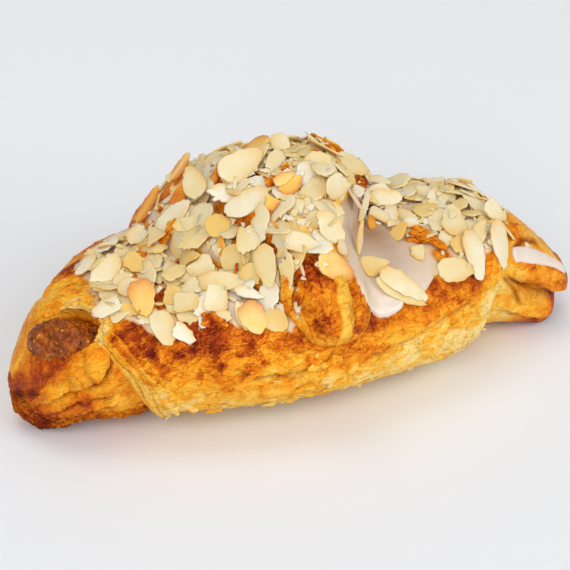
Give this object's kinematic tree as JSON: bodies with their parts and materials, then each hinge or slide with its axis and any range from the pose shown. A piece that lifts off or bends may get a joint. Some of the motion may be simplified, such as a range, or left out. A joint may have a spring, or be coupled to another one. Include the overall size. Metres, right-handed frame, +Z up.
{
  "type": "almond croissant",
  "caption": "Straight baked croissant with nut filling showing in a pocket at one tip and iced flaked almonds heaped over the top.",
  "frame": {"origin": "on the surface it rests on, under the middle of the bounding box", "axes": "+X along the roll, away from the filled tip; -Y the front, where the tongue ends; +Z up"},
  "size_m": [0.1746, 0.0946, 0.0677],
  "materials": {
    "pastry": "egg-washed laminated dough, golden brown, flaky, darker on top and paler where the layers show",
    "filling": "coarse moist nut paste, dark brown",
    "almond": "flaked almonds, cream with some toasted golden",
    "icing": "thin set water icing, translucent white, glossy",
    "toasted_almond": "flaked almonds, toasted golden brown"
  },
  "bodies": {
    "root": {"pastry": "pastry", "filling": "filling", "almond_topping": "almond"}
  },
  "joints": []
}
